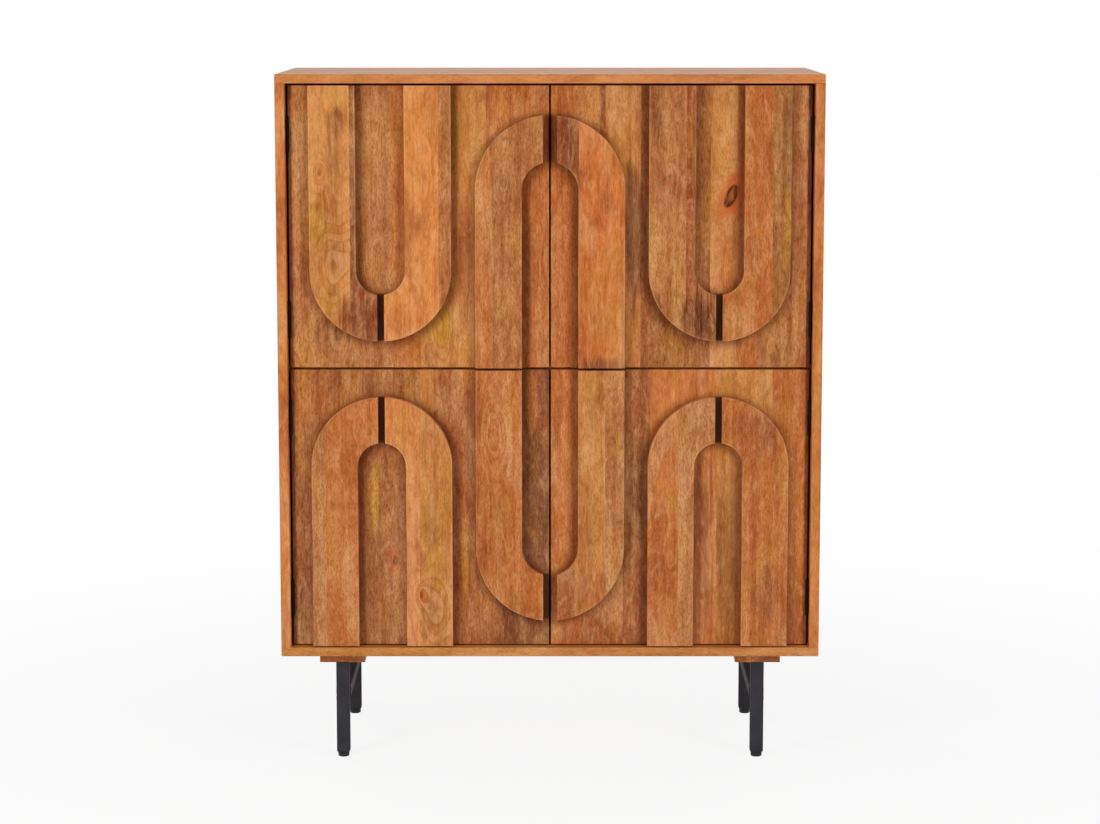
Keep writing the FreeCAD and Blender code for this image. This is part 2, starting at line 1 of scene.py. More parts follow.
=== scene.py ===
# %% [markdown]
# # A tall sideboard with raised arches
# The case, doors, shelves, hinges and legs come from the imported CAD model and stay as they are.
# This lesson gives them their finish: lacquered hardwood glued up from mixed staves, black coated steel
# and bronzed hinges.
# It then adds the small fasteners that hold the real cabinet together, a floor, soft light and a camera.

# %% Load the frame
import math

import bpy
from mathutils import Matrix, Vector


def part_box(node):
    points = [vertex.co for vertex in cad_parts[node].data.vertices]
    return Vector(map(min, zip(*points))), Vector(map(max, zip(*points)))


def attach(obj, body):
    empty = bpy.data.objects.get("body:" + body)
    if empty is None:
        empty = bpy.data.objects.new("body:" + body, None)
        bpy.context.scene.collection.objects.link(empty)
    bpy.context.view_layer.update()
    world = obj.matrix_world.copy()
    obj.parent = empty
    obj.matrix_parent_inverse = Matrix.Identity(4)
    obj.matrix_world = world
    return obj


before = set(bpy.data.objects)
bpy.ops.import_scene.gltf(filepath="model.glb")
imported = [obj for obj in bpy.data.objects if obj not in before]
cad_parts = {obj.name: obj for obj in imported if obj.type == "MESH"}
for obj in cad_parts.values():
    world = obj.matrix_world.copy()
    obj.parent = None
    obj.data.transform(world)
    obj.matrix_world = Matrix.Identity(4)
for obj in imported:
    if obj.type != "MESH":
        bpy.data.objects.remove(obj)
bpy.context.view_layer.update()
scene = bpy.context.scene
scene.view_settings.view_transform = "Standard"
MM = 0.001

# %% [markdown]
# ## Camera
# The photograph looks straight at the doors from a little above the top.
# Its vertical lines stay parallel, which a shift lens gives, but a shift would push the object out of
# every other view.
# So the camera stands further back with a longer lens and tips down a little, which keeps the lean of
# the sides small.

# %% Place the camera
CAMERA_PLACE = (0.0, -5.08, 1.29)
CAMERA_TIP = 0.1417
CAMERA_LENS = 97.4
SENSOR_WIDTH = 36

camera_data = bpy.data.cameras.new("front_camera")
camera_data.sensor_fit = "HORIZONTAL"
camera_data.sensor_width = SENSOR_WIDTH
camera_data.lens = CAMERA_LENS
camera = bpy.data.objects.new("front_camera", camera_data)
camera.location = CAMERA_PLACE
camera.rotation_euler = (math.pi / 2 - CAMERA_TIP, 0, 0)
scene.collection.objects.link(camera)
scene.camera = camera

# %% [markdown]
# ## Shader maths
# A finish is a sum of masks and colours, and it reads best when it is written as one.
# Nodes could be placed and linked one by one, but a long finish would then be hard to follow.
# The class below wraps a socket, so that plus, minus and times add Math nodes, and one method makes
# any other node.


# %% A socket that can be added and scaled
class Wire:
    """One socket of a node tree, used in sums as if it were a number."""

    def __init__(self, tree, socket=None):
        self.tree = tree
        self.socket = socket

    def node(self, kind, settings=None, inputs=None, out=0):
        """Makes any node, fills in its settings and inputs, and gives one of its outputs."""
        made = self.tree.nodes.new(kind)
        for name, value in (settings or {}).items():
            if name == "stops":
                fill_ramp(made.color_ramp, value)
            else:
                setattr(made, name, value)
        for key, value in (inputs or {}).items():
            if isinstance(value, Wire):
                self.tree.links.new(value.socket, made.inputs[key])
            else:
                made.inputs[key].default_value = value
        return Wire(self.tree, made.outputs[out])

    def other(self, out):
        """Another output of the same node."""
        return Wire(self.tree, self.socket.node.outputs[out])

    def maths(self, operation, *values):
        return self.node("ShaderNodeMath", {"operation": operation}, dict(enumerate(values)))

    def __add__(self, value):
        return self.maths("ADD", self, value)

    def __sub__(self, value):
        return self.maths("SUBTRACT", self, value)

    def __rsub__(self, value):
        return self.maths("SUBTRACT", value, self)

    def __mul__(self, value):
        return self.maths("MULTIPLY", self, value)

    def __truediv__(self, value):
        return self.maths("DIVIDE", self, value)

    def __rtruediv__(self, value):
        return self.maths("DIVIDE", value, self)

    def __pow__(self, value):
        return self.maths("POWER", self, value)

    __radd__ = __add__
    __rmul__ = __mul__


def fill_ramp(ramp, stops):
    """Gives a colour ramp hard steps, one for each (place, colour)."""
    ramp.interpolation = "CONSTANT"
    for index, (place, colour) in enumerate(stops):
        stop = ramp.elements[index] if index < 2 else ramp.elements.new(place)
        stop.position = place
        stop.color = colour


# %% [markdown]
# A few helpers keep the finishes short.
# Colours are written as they are seen on a screen, because that is how a maker would pick them, and
# srgb turns them into the linear values that a shader works with.


# %% Colours, masks and noise
def srgb(red, green, blue):
    """A colour as it is seen on a screen, 0 to 255, turned into the linear values of a shader."""
    shares = [level / 255 for level in (red, green, blue)]
    return tuple(s / 12.92 if s <= 0.04045 else ((s + 0.055) / 1.055) ** 2.4 for s in shares) + (1.0,)


def mix(factor, under, over, blend="MIX"):
    """Lays one colour over another; inputs 6 and 7 and output 2 are the colour sockets of the node."""
    settings = {"data_type": "RGBA", "blend_type": blend}
    return factor.node("ShaderNodeMix", settings, {0: factor, 6: under, 7: over}, out=2)


def rise(value, low, high):
    """A smooth step from 0 at low to 1 at high."""
    settings = {"interpolation_type": "SMOOTHSTEP"}
    return value.node("ShaderNodeMapRange", settings, {"Value": value, "From Min": low, "From Max": high})


def unsigned(value):
    """A number without its sign."""
    return value.maths("ABSOLUTE", value)


def vector_maths(start, operation, inputs, out=0):
    return start.node("ShaderNodeVectorMath", {"operation": operation}, inputs, out)


def noise(vector, across, along, detail=1.0, twist=0.0):
    """Noise stretched along the second axis, in cycles per metre."""
    stretched = vector_maths(vector, "MULTIPLY", {0: vector, 1: (across, along, across)})
    inputs = {"Vector": stretched, "Scale": 1.0, "Detail": detail, "Distortion": twist}
    return vector.node("ShaderNodeTexNoise", {"noise_dimensions": "3D"}, inputs)


def object_place(start):
    """The place on the piece in metres, in the frame that it shares with the CAD model."""
    return start.node("ShaderNodeTexCoord", out="Object")


def new_material(name):
    material = bpy.data.materials.new(name)
    material.use_nodes = True
    shader = material.node_tree.nodes["Principled BSDF"]
    return material, shader, Wire(material.node_tree)


def feed(shader, wires):
    """Links wires to the inputs of a shader."""
    for name, wire in wires.items():
        wire.tree.links.new(wire.socket, shader.inputs[name])


def dress(material, *names):
    """Puts a material on the slots of CAD nodes."""
    for name in names:
        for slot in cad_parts[name].material_slots:
            slot.material = material
    print(material.name, "on", len(names), "nodes")


# %% [markdown]
# ## The hardwood
# The real boards are glued up from narrow staves of one warm, oily hardwood, and no two staves match.
# Some are honey coloured, some peach or russet, and a few carry olive streaks, swirls and small knots.
# A picture of wood would tie the finish to one board, so the wood is grown from noise instead.
# Every board lists its own staves from one end to the other, each with a tone and a number that moves
# its grain.

# %% Tones of the staves
TONES = {
    "honey": srgb(206, 134, 69),
    "gold": srgb(202, 136, 56),
    "peach": srgb(214, 128, 69),
    "amber": srgb(198, 113, 58),
    "russet": srgb(174, 95, 53),
    "tan": srgb(190, 121, 70),
    "brown": srgb(168, 101, 59),
    "umber": srgb(138, 84, 53),
    "olive": srgb(172, 114, 62),
    "mauve": srgb(150, 84, 54),
    "straw": srgb(200, 142, 48),
    "wheat": srgb(217, 145, 79),
    "apricot": srgb(226, 142, 76),
    "coral": srgb(213, 119, 60),
    "sand": srgb(216, 136, 77),
    "ember": srgb(194, 88, 38),
    "maroon": srgb(116, 54, 30),
    "bark": srgb(64, 32, 15),
}
DEEPEN = (0.62, 0.48, 0.36, 1.0)
LIFT = srgb(240, 186, 128)
# The next colour is painted shade, laid over the door panels beside the arches and along their outer edges.
PAINTED_SHADE = (0.42, 0.30, 0.24, 1.0)
# The next colour is a painted highlight for the rounded front edges of the arches.
PALE = srgb(236, 196, 150)
print(len(TONES), "tones of wood")

# %% [markdown]
# A colour ramp with hard steps holds the staves: the colour of a step is the tone of a stave, and its
# alpha is the number that moves the grain, so the figure breaks off at every glue line.
# Seven layers of noise then make the figure, from broad drifts of colour down to pores.
# Each is stretched along the grain, and its first two values count its cycles per metre across the
# grain and along it.

# %% Staves and layers of figure
GOLDEN_STEP = 0.618034
FIRST_SHIFT = 0.17
STAVE_SHIFT = (3.1, 7.3, 5.7)
FIGURE = {
    "drift": (10, 4, 2.0, 1.0),
    "clouds": (20, 7, 3.0, 0.8),
    "mottle": (52, 20, 3.0, 1.6),
    "streaks": (95, 3.5, 3.0, 0.6),
    "fibres": (560, 60, 2.0, 0.0),
    "flecks": (430, 150, 2.0, 0.4),
    "growth": (13, 2.2, 1.0, 0.5),
}


def stave_ramp(u, staves):
    """The tone of each stave, with the number that moves its grain in alpha."""
    low, high = staves[0][0] * MM, staves[-1][0] * MM
    stops = []
    for index, (edge, tone) in enumerate(staves[:-1]):
        shift = (index * GOLDEN_STEP + FIRST_SHIFT) % 1
        stops.append(((edge * MM - low) / (high - low), TONES[tone][:3] + (shift,)))
    return u.node("ShaderNodeValToRGB", {"stops": stops}, {0: (u - low) / (high - low)})


def grown_figure(u, v, w, shift):
    """Every layer of figure by name, across, along and through the board."""
    moved = vector_maths(u, "SCALE", {0: STAVE_SHIFT, "Scale": shift})
    grain = u.node("ShaderNodeCombineXYZ", None, {0: u, 1: v, 2: w})
    grain = vector_maths(u, "ADD", {0: grain, 1: moved})
    return {layer: noise(grain, *numbers) for layer, numbers in FIGURE.items()}


# %% [markdown]
# Knots and swirls are places where the growth lines run round something.
# Each spot below raises a smooth hill in the growth pattern, and the lines bend round it by themselves.
# A spot with a core is a knot: it gets a dark heart and a red halo, and a leaning one is darkest
# near its rim.
# Patches are simpler, soft ovals of another tone whose edges follow the streaks of the wood.

# %% Knots, swirls and patches
SPOT_STRETCH = 1.9
PATCH_EDGE = 1.25
PATCH_RAGGED = 2.2


def swirl_of(u, v, spots):
    """Bends the growth lines round each knot or swirl, and gives the knots' own masks."""
    bend = near = None
    cores = []
    for x, z, radius, lift, core, lean in spots:
        upward = v - z * MM
        sideways = u - x * MM
        if lean:
            sideways = sideways - upward * lean
        far = (sideways / (radius * MM)) ** 2 + (upward / (SPOT_STRETCH * radius * MM)) ** 2
        hill = 1 / (far * 0.5 + 1)
        bend = hill * lift if bend is None else bend + hill * lift
        near = hill if near is None else near + hill
        if core:
            heart = 1 - rise(far, 0.08, 0.26)
            if lean:
                heart = (1 - rise(far, 0.24, 0.46)) * (rise(far, 0.04, 0.20) * 0.25 + 0.75)
            cores.append((heart * core, (1 - rise(far, 0.3, 2.6)) * core))
    return bend, near, cores


def patched(colour, u, v, patches, streaks):
    """Lays soft ovals of other tones over the staves."""
    for x, z, wide, tall, tone, strength in patches:
        far = ((u - x * MM) / (wide * MM)) ** 2 + ((v - z * MM) / (tall * MM)) ** 2
        mask = rise(PATCH_EDGE - far + (streaks - 0.5) * PATCH_RAGGED, 0.2, 1.1)
        colour = mix(mask * strength, colour, TONES[tone])
    return colour


# %% [markdown]
# The doors carry marks that follow the arches.
# On the panels painted shade darkens the corner below and the inner side of every arch, a strip along
# the doors' outer edges, and the slots between two arch pieces.
# On the arches a painted highlight makes the rounded edges a little paler.
# A shader that looks for edges would find them too, but the exported model loses it, so the marks come
# from the distance to the arch band, worked out from the band's centre and its two radii.

# %% Painted shade beside the arches and painted highlights on their rims
# The numbers below place painted shade beside the arches and along the doors' outer edges, and a painted
# highlight on the arch rims.
# Each pair gives, in metres, where a mask begins to change and where it has changed.
PANEL_FACE = (-0.1815, -0.1795)
ARCH_FACE = (-0.1952, -0.1940)
OUTER_STRIP = (0.4225, 0.4265)
OUTER_EDGE = (0.4286, 0.4302)
SHADE_REACH = (-0.002, 0.018)
RIM_REACH = (-0.0026, -0.0006)
SHADE_INWARD = 0.007
SHADE_DOWN = 0.004
SHADE_WAVER = 0.008
STRIP_WAVER = 0.004
SHADE_SHARE = 0.7
STRIP_SHARE = 0.8
EDGE_SHARE = 0.9
RIM_SHARE = 0.30


def beyond_band(u, v, arches, inward=0.0, down=0.0):
    """How far a point lies outside the nearest arch band, in metres; under a band it is negative."""
    gaps = []
    for x, z, outer, inner, crown in arches:
        beside = unsigned(u) + (inward - x * MM)
        above = u.maths("MAXIMUM", (v + (down - z * MM)) * crown, 0.0)
        radius = u.maths("SQRT", beside ** 2 + above ** 2)
        gaps.append(unsigned(radius - (outer + inner) / 2 * MM) - (outer - inner) / 2 * MM)
    return u.maths("MINIMUM", *gaps)


def shaded_panel(colour, u, v, w, mottle, bands, slots):
    """Paints shade on the front of a panel along its arches, at its outer edge and in its slots."""
    face = 1 - rise(w, *PANEL_FACE)
    gap = beyond_band(u, v, bands, inward=SHADE_INWARD, down=SHADE_DOWN)
    # Painted shade in the corner beside each arch, with the band moved towards the middle and down, where the
    # shadows fall.
    arch_shade = 1 - rise(gap + (mottle - 0.5) * SHADE_WAVER, *SHADE_REACH)
    colour = mix(arch_shade * face * SHADE_SHARE, colour, PAINTED_SHADE, "MULTIPLY")
    # Painted shade in a strip along the door's outer edge, and a near-black painted shade on its last
    # millimetres beside the gap.
    outward = unsigned(u) + (mottle - 0.5) * STRIP_WAVER
    colour = mix(rise(outward, *OUTER_STRIP) * face * STRIP_SHARE, colour, PAINTED_SHADE, "MULTIPLY")
    colour = mix(rise(unsigned(u), *OUTER_EDGE) * face * EDGE_SHARE, colour, TONES["bark"])
    # Near-black painted shade in the slots between arch pieces, where little light reaches.
    for x, low_end, high_end, half, strength, soft in slots:
        beyond_ends = unsigned(v - (low_end + high_end) / 2 * MM) - (high_end - low_end) / 2 * MM
        beyond_sides = unsigned(u - x * MM) - half * MM
        beyond = u.maths("MAXIMUM", beyond_ends, beyond_sides)
        inside = 1 - rise(beyond, -soft * MM, (soft + 2) * MM)
        colour = mix(inside * face * strength, colour, TONES["bark"])
    return colour


def rim_highlighted(colour, u, v, w, clouds, bands):
    """Paints a pale highlight along the front edges of the arches."""
    face = 1 - rise(w, *ARCH_FACE)
    # Painted highlight: a pale line along the rounded edge of each arch band.
    rim = rise(beyond_band(u, v, bands), *RIM_REACH)
    return mix(rim * face * rise(clouds, 0.3, 0.7) * RIM_SHARE, colour, PALE)


# %% [markdown]
# The layers now come together: staves, clouds of gold and russet, patches, light and dark figure,
# growth lines, pores and knots, and last the painted shade or the painted highlight on the rims.
# A lower value of lively gives a quieter board.
# Pores are cut a little into the surface and dull it, and the lacquer on top is a thin coat.

# %% The lacquered wood
AXES = "XYZ"
SHADING = {"drift": (0.30, 0.40), "mottle": (0.22, 0.42), "streaks": (0.12, 0.42), "fibres": (0.14, 0.26)}
GROWTH_LINES = 44
LINE_STRENGTH = 0.2
SWIRL_LINES = 0.28
SWIRL_GLOW = 0.20
GOLD_SHARE = 0.50
RUSSET_SHARE = 0.55
HALO_SHARE = 0.65
PORE_STRENGTH = 0.32
GRAIN_RELIEF = {"Strength": 0.16, "Distance": 0.0006}
WOOD_ROUGHNESS = 0.36
WOOD_SHINE = 0.10
COAT_ROUGHNESS = 0.28


def hardwood(name, across, along, staves, patches=(), spots=(), slots=(), beside=(), rims=(),
             lively=1.0, coat=0.0):
    """Lacquered wood of staves laid side by side along one axis, with the grain along another."""
    material, shader, start = new_material(name)
    split = start.node("ShaderNodeSeparateXYZ", None, {0: object_place(start)})
    through = next(axis for axis in AXES if axis not in (across, along))
    u, v, w = (split.other(AXES.index(axis)) for axis in (across, along, through))
    tone = stave_ramp(u, staves)
    figure = grown_figure(u, v, w, tone.other(1))
    clouds, mottle, fibres = (figure[layer] for layer in ("clouds", "mottle", "fibres"))
    paleness = start.node("ShaderNodeSeparateColor", None, {0: tone})
    pores = rise(figure["flecks"], 0.50, 0.60) * (1 - rise(paleness, 0.48, 0.70) * 0.6)
    growth = figure["growth"] + (mottle - 0.5) * 0.02
    bend, near, cores = swirl_of(u, v, spots)
    if bend is not None:
        growth = growth + bend
    wave = start.maths("SINE", growth * GROWTH_LINES)
    lines = 1 - rise(unsigned(wave), 0.0, 0.60)

    colour = mix(rise(clouds, 0.50, 0.70) * GOLD_SHARE * lively, tone, TONES["gold"])
    colour = mix((1 - rise(clouds, 0.32, 0.50)) * RUSSET_SHARE * lively, colour, TONES["russet"])
    colour = patched(colour, u, v, patches, figure["streaks"])
    for layer, (lift, sink) in SHADING.items():
        colour = mix((1 - rise(figure[layer], 0.30, 0.50)) * lift * lively, colour, LIFT)
        colour = mix(rise(figure[layer], 0.48, 0.70) * sink * lively, colour, DEEPEN, "MULTIPLY")
    marked = LINE_STRENGTH
    if near is not None:
        colour = mix(rise(wave, -0.6, 1.0) * near ** 2 * SWIRL_GLOW, colour, LIFT)
        marked = near ** 2 * SWIRL_LINES + LINE_STRENGTH
    colour = mix(lines * marked * lively, colour, DEEPEN, "MULTIPLY")
    colour = mix(pores * PORE_STRENGTH, colour, TONES["bark"])
    for heart, halo in cores:
        colour = mix(halo * HALO_SHARE, colour, TONES["ember"])
        colour = mix(heart * (rise(mottle, 0.36, 0.54) * 0.45 + 0.55), colour, TONES["bark"])
    if beside:
        colour = shaded_panel(colour, u, v, w, mottle, beside, slots)
    if rims:
        colour = rim_highlighted(colour, u, v, w, clouds, rims)

    bump = start.node("ShaderNodeBump", None, {**GRAIN_RELIEF, "Height": fibres * 0.4 - pores})
    roughness = fibres * 0.10 + pores * 0.14 + WOOD_ROUGHNESS
    feed(shader, {"Base Color": colour, "Roughness": roughness, "Normal": bump})
    shader.inputs["Specular IOR Level"].default_value = WOOD_SHINE
    shader.inputs["Coat Weight"].default_value = coat
    shader.inputs["Coat Roughness"].default_value = COAT_ROUGHNESS
    return material


# %% [markdown]
# ## The case
# The top and bottom boards run the full width and their grain lies along them; the sides stand upright.
# They are a light orange tan and calmer than the doors, which carry the wild staves.
# One finish for all of them would run the same staves through the whole case, so each kind of board
# has a list of its own, with the edge of every stave in millimetres.

# %% Finish the case boards
top_staves = [
    (-200, "sand"), (-146, "tan"), (-88, "honey"), (-40, "amber"), (22, "tan"), (81, "peach"),
    (133, "honey"), (172, "amber"), (200, "amber"),
]
bottom_staves = [
    (-200, "honey"), (-141, "amber"), (-79, "tan"), (-24, "amber"), (40, "tan"), (102, "honey"),
    (159, "amber"), (200, "amber"),
]
side_staves = [
    (-200, "peach"), (-163, "honey"), (-104, "tan"), (-58, "amber"), (3, "honey"), (66, "russet"),
    (118, "tan"), (161, "peach"), (200, "peach"),
]
shelf_staves = [
    (-200, "tan"), (-121, "honey"), (-49, "amber"), (12, "tan"), (88, "peach"), (147, "honey"),
    (200, "honey"),
]
back_staves = [
    (-450, "tan"), (-352, "tan"), (-248, "honey"), (-143, "tan"), (-52, "tan"), (61, "tan"),
    (158, "honey"), (263, "tan"), (349, "tan"), (450, "tan"),
]
batten_staves = [(-400, "russet"), (-349, "brown"), (0, "russet"), (352, "brown"), (400, "brown")]

dress(hardwood("top_hardwood", "Y", "X", top_staves, lively=0.7, coat=0.20), "top_panel")
dress(hardwood("bottom_hardwood", "Y", "X", bottom_staves, lively=0.7), "bottom_panel")
dress(hardwood("side_hardwood", "Y", "Z", side_staves), "left_side_panel", "right_side_panel")
dress(hardwood("shelf_hardwood", "Y", "X", shelf_staves, lively=0.6),
      "middle_shelf", "upper_shelf", "lower_shelf")
dress(hardwood("back_veneer", "X", "Z", back_staves, lively=0.5), "back_panel")
dress(hardwood("batten_hardwood", "X", "Y", batten_staves, lively=0.7), "left_batten", "right_batten")

# %% [markdown]
# ## The doors
# Each door is a flat panel, and the panels of a tier were cut from one glued board, so the staves run
# on across the gap.
# The lists give the left edge of each stave in millimetres from the middle, read from left to right.
# Staves could be placed at random, but a list keeps the order of light and dark that gives the front
# its look.
# Patches hold x, z, half width, half height, tone and strength.
# Spots hold x, z, radius, bend, darkness of the knot and its lean.
# Bands hold the centre of an arch, its two radii and whether its crown is up or down.
# Slots hold x, lower and upper end, half width, strength and softness of their painted shade.

# %% Finish the door panels
upper_panel_staves = [
    (-434, "tan"), (-327, "tan"), (-263, "amber"), (-214, "honey"), (-108, "amber"), (-62, "amber"),
    (0, "amber"), (46, "tan"), (81, "russet"), (90, "honey"), (146, "brown"), (240, "brown"),
    (264, "honey"), (307, "amber"), (342, "brown"), (398, "tan"), (423, "mauve"), (434, "mauve"),
]
lower_panel_staves = [
    (-434, "brown"), (-400, "brown"), (-315, "brown"), (-263, "brown"), (-220, "honey"), (-196, "russet"),
    (-122, "brown"), (-82, "umber"), (0, "amber"), (48, "russet"), (122, "brown"), (164, "peach"),
    (277, "honey"), (367, "amber"), (434, "amber"),
]
upper_panel_patches = [
    (-157, 1060, 16, 80, "straw", 0.85), (-190, 742, 36, 44, "straw", 0.9), (-358, 726, 36, 40, "umber", 0.6),
    # The mauve and maroon patches at x 141 darken the stave beside the upper loop, partly its own tone and
    # partly painted shade.
    (-40, 800, 14, 150, "umber", 0.4), (141, 880, 20, 150, "mauve", 0.85),
    (141, 900, 22, 120, "maroon", 0.85), (302, 945, 22, 60, "amber", 0.8), (405, 900, 20, 200, "russet", 0.5),
    (-142, 850, 18, 130, "russet", 0.6), (284, 860, 18, 90, "amber", 0.7), (300, 720, 30, 30, "umber", 0.4),
    (64, 1106, 24, 50, "wheat", 1.0), (87, 1085, 4, 60, "maroon", 0.6),
]
lower_panel_patches = [
    (-293, 452, 8, 75, "straw", 0.9), (-142, 345, 7, 95, "gold", 0.8), (-40, 470, 26, 110, "umber", 0.35),
    (-56, 222, 46, 48, "mauve", 0.85), (-110, 245, 34, 60, "tan", 0.7), (-400, 600, 46, 60, "amber", 0.5),
    (-415, 245, 20, 60, "umber", 0.5), (-30, 610, 12, 60, "honey", 0.6), (258, 370, 20, 190, "brown", 0.85),
    (298, 370, 22, 190, "olive", 0.8), (290, 530, 22, 30, "gold", 0.5), (246, 420, 14, 90, "mauve", 0.5),
    (250, 648, 26, 26, "russet", 0.5), (143, 458, 20, 120, "umber", 0.75), (-150, 240, 26, 60, "tan", 0.6),
]
upper_panel_spots = [
    (298, 950, 17, 0.45, 0.95, 0.34), (-190, 745, 26, 0.45, 0, 0), (-350, 722, 26, 0.5, 0, 0),
]
lower_panel_spots = [(-259, 340, 11, 0.45, 0.55, 0), (-60, 240, 36, 0.4, 0, 0)]
upper_bands = [(279.5, 827.75, 117, 40, -1), (0, 960, 123.5, 46.5, 1)]
lower_bands = [(279.5, 500.75, 117, 40, 1), (0, 363.5, 123.5, 46.5, -1)]
upper_slots = [
    (-279.5, 712, 788, 6, 0.87, 1), (279.5, 712, 788, 6, 0.87, 1), (0, 1008, 1081, 5, 0.80, 5),
]
lower_slots = [
    (-279.5, 541, 616, 6, 0.87, 1), (279.5, 541, 616, 6, 0.87, 1), (-6, 242, 317, 6, 0.87, 1),
]

upper_panel_wood = hardwood("upper_door_hardwood", "X", "Z", upper_panel_staves, upper_panel_patches,
                            upper_panel_spots, upper_slots, beside=upper_bands)
lower_panel_wood = hardwood("lower_door_hardwood", "X", "Z", lower_panel_staves, lower_panel_patches,
                            lower_panel_spots, lower_slots, beside=lower_bands)
dress(upper_panel_wood, "upper_left_door_panel", "upper_right_door_panel")
dress(lower_panel_wood, "lower_left_door_panel", "lower_right_door_panel")

# %% [markdown]
# ## The raised arches
# The arches are separate pieces glued on, cut from their own boards, so their staves don't line up
# with the panels.
# One finish for panels and arches would let the staves run on through both, and the relief would be
# hard to see, so the arches have lists of their own.
# Their rounded edges catch the light, and a thin painted highlight makes them a little paler than the faces.

# %% Finish the arches
upper_arch_staves = [
    (-434, "wheat"), (-329, "mauve"), (-282, "apricot"), (-186, "tan"), (-140, "amber"), (-97, "tan"),
    (0, "mauve"), (46, "coral"), (140, "tan"), (221, "russet"), (244, "brown"), (282, "amber"),
    (365, "olive"), (434, "olive"),
]
lower_arch_staves = [
    (-434, "tan"), (-375, "amber"), (-282, "peach"), (-219, "honey"), (-140, "amber"), (0, "russet"),
    (40, "honey"), (90, "tan"), (140, "amber"), (212, "tan"), (282, "amber"), (434, "amber"),
]
upper_arch_patches = [
    (-383, 912, 18, 54, "straw", 0.85), (-348, 1072, 17, 30, "mauve", 0.7), (-366, 940, 24, 34, "amber", 0.6),
    (-352, 1020, 26, 40, "tan", 0.6), (-352, 1114, 20, 20, "straw", 0.5), (176, 1080, 9, 60, "umber", 0.6),
    (190, 960, 30, 30, "russet", 0.7), (390, 1040, 12, 90, "umber", 0.4), (392, 900, 10, 70, "straw", 0.6),
    (-365, 775, 20, 25, "straw", 0.6), (-345, 846, 15, 36, "tan", 0.7), (-80, 930, 22, 80, "brown", 0.55),
    (242, 755, 38, 50, "maroon", 0.9), (252, 745, 24, 36, "bark", 0.25), (-316, 750, 40, 50, "ember", 0.4),
    (-316, 750, 36, 48, "maroon", 0.68), (-238, 740, 44, 40, "amber", 0.55),
    (-170, 800, 10, 60, "russet", 0.6), (190, 765, 24, 34, "russet", 0.7), (178, 850, 26, 50, "honey", 0.6),
    (330, 1000, 26, 90, "amber", 0.7), (93, 668, 52, 20, "mauve", 0.9),
]
lower_arch_patches = [
    (-202, 400, 14, 60, "olive", 0.5), (-190, 330, 20, 40, "gold", 0.5), (360, 560, 24, 40, "mauve", 0.6),
    (362, 290, 26, 60, "mauve", 0.6), (190, 480, 20, 40, "peach", 0.6), (-212, 345, 6, 25, "russet", 0.6),
    (60, 292, 45, 40, "russet", 0.55), (186, 552, 22, 40, "russet", 0.6), (318, 568, 34, 30, "russet", 0.7),
    (-90, 470, 40, 120, "ember", 0.22),
]
upper_arch_spots = [
    (-378, 990, 9, 0.4, 0.4, 0), (-347, 843, 30, 0.7, 0, 0), (-76, 976, 13, 0.5, 0, 0),
]
lower_arch_spots = [
    (-215, 285, 8, 0.3, 0.5, 0), (-98, 554, 24, 0.55, 0, 0), (-186, 255, 24, 0.4, 0, 0),
]


def arch_nodes(tier):
    pieces = ("arch_outer_half", "arch_inner_half", "loop_quarter")
    return [f"{tier}_{side}_{piece}" for side in ("left", "right") for piece in pieces]


upper_arch_wood = hardwood("upper_arch_hardwood", "X", "Z", upper_arch_staves, upper_arch_patches,
                           upper_arch_spots, rims=upper_bands)
lower_arch_wood = hardwood("lower_arch_hardwood", "X", "Z", lower_arch_staves, lower_arch_patches,
                           lower_arch_spots, rims=lower_bands)
dress(upper_arch_wood, *arch_nodes("upper"))
dress(lower_arch_wood, *arch_nodes("lower"))

# %% [markdown]
# ## Steel and plastic
# The leg frames are square tube with a satin powder coat: black, with the faint orange peel that
# sprayed powder leaves.
# The plugs and feet are moulded plastic, a little glossier, the hinges are bronzed so that they hardly
# show in the dark gap, and the bolts and shelf pins are zinc plated.
# One grey would do from afar, but close up each of them has its own gloss and its own fine dimples.

# %% Finish the metal and plastic
DIMPLES_PER_METRE = 900
HANDLING_PER_METRE = 30
DIMPLE_DEPTH = 0.0004
PALER = 1.35
PALE_FLOOR = 0.01


def coated(name, colour, roughness, peel, metallic=0.0, shine=0.5):
    """A painted, plated or moulded surface with fine dimples and a slight change of gloss."""
    material, shader, start = new_material(name)
    place = object_place(start)
    dimples = noise(place, DIMPLES_PER_METRE, DIMPLES_PER_METRE, 2.0)
    handled = noise(place, HANDLING_PER_METRE, HANDLING_PER_METRE, 2.0)
    worn = rise(handled, 0.35, 0.75)
    pale = tuple(min(1.0, level * PALER + PALE_FLOOR) for level in colour[:3]) + (1.0,)
    bump = start.node("ShaderNodeBump", None, {"Strength": peel, "Distance": DIMPLE_DEPTH, "Height": dimples})
    colours = mix(worn * 0.5 + dimples * 0.2, colour, pale)
    gloss = worn * 0.10 + dimples * 0.06 + roughness
    feed(shader, {"Base Color": colours, "Roughness": gloss, "Normal": bump})
    shader.inputs["Metallic"].default_value = metallic
    shader.inputs["Specular IOR Level"].default_value = shine
    return material


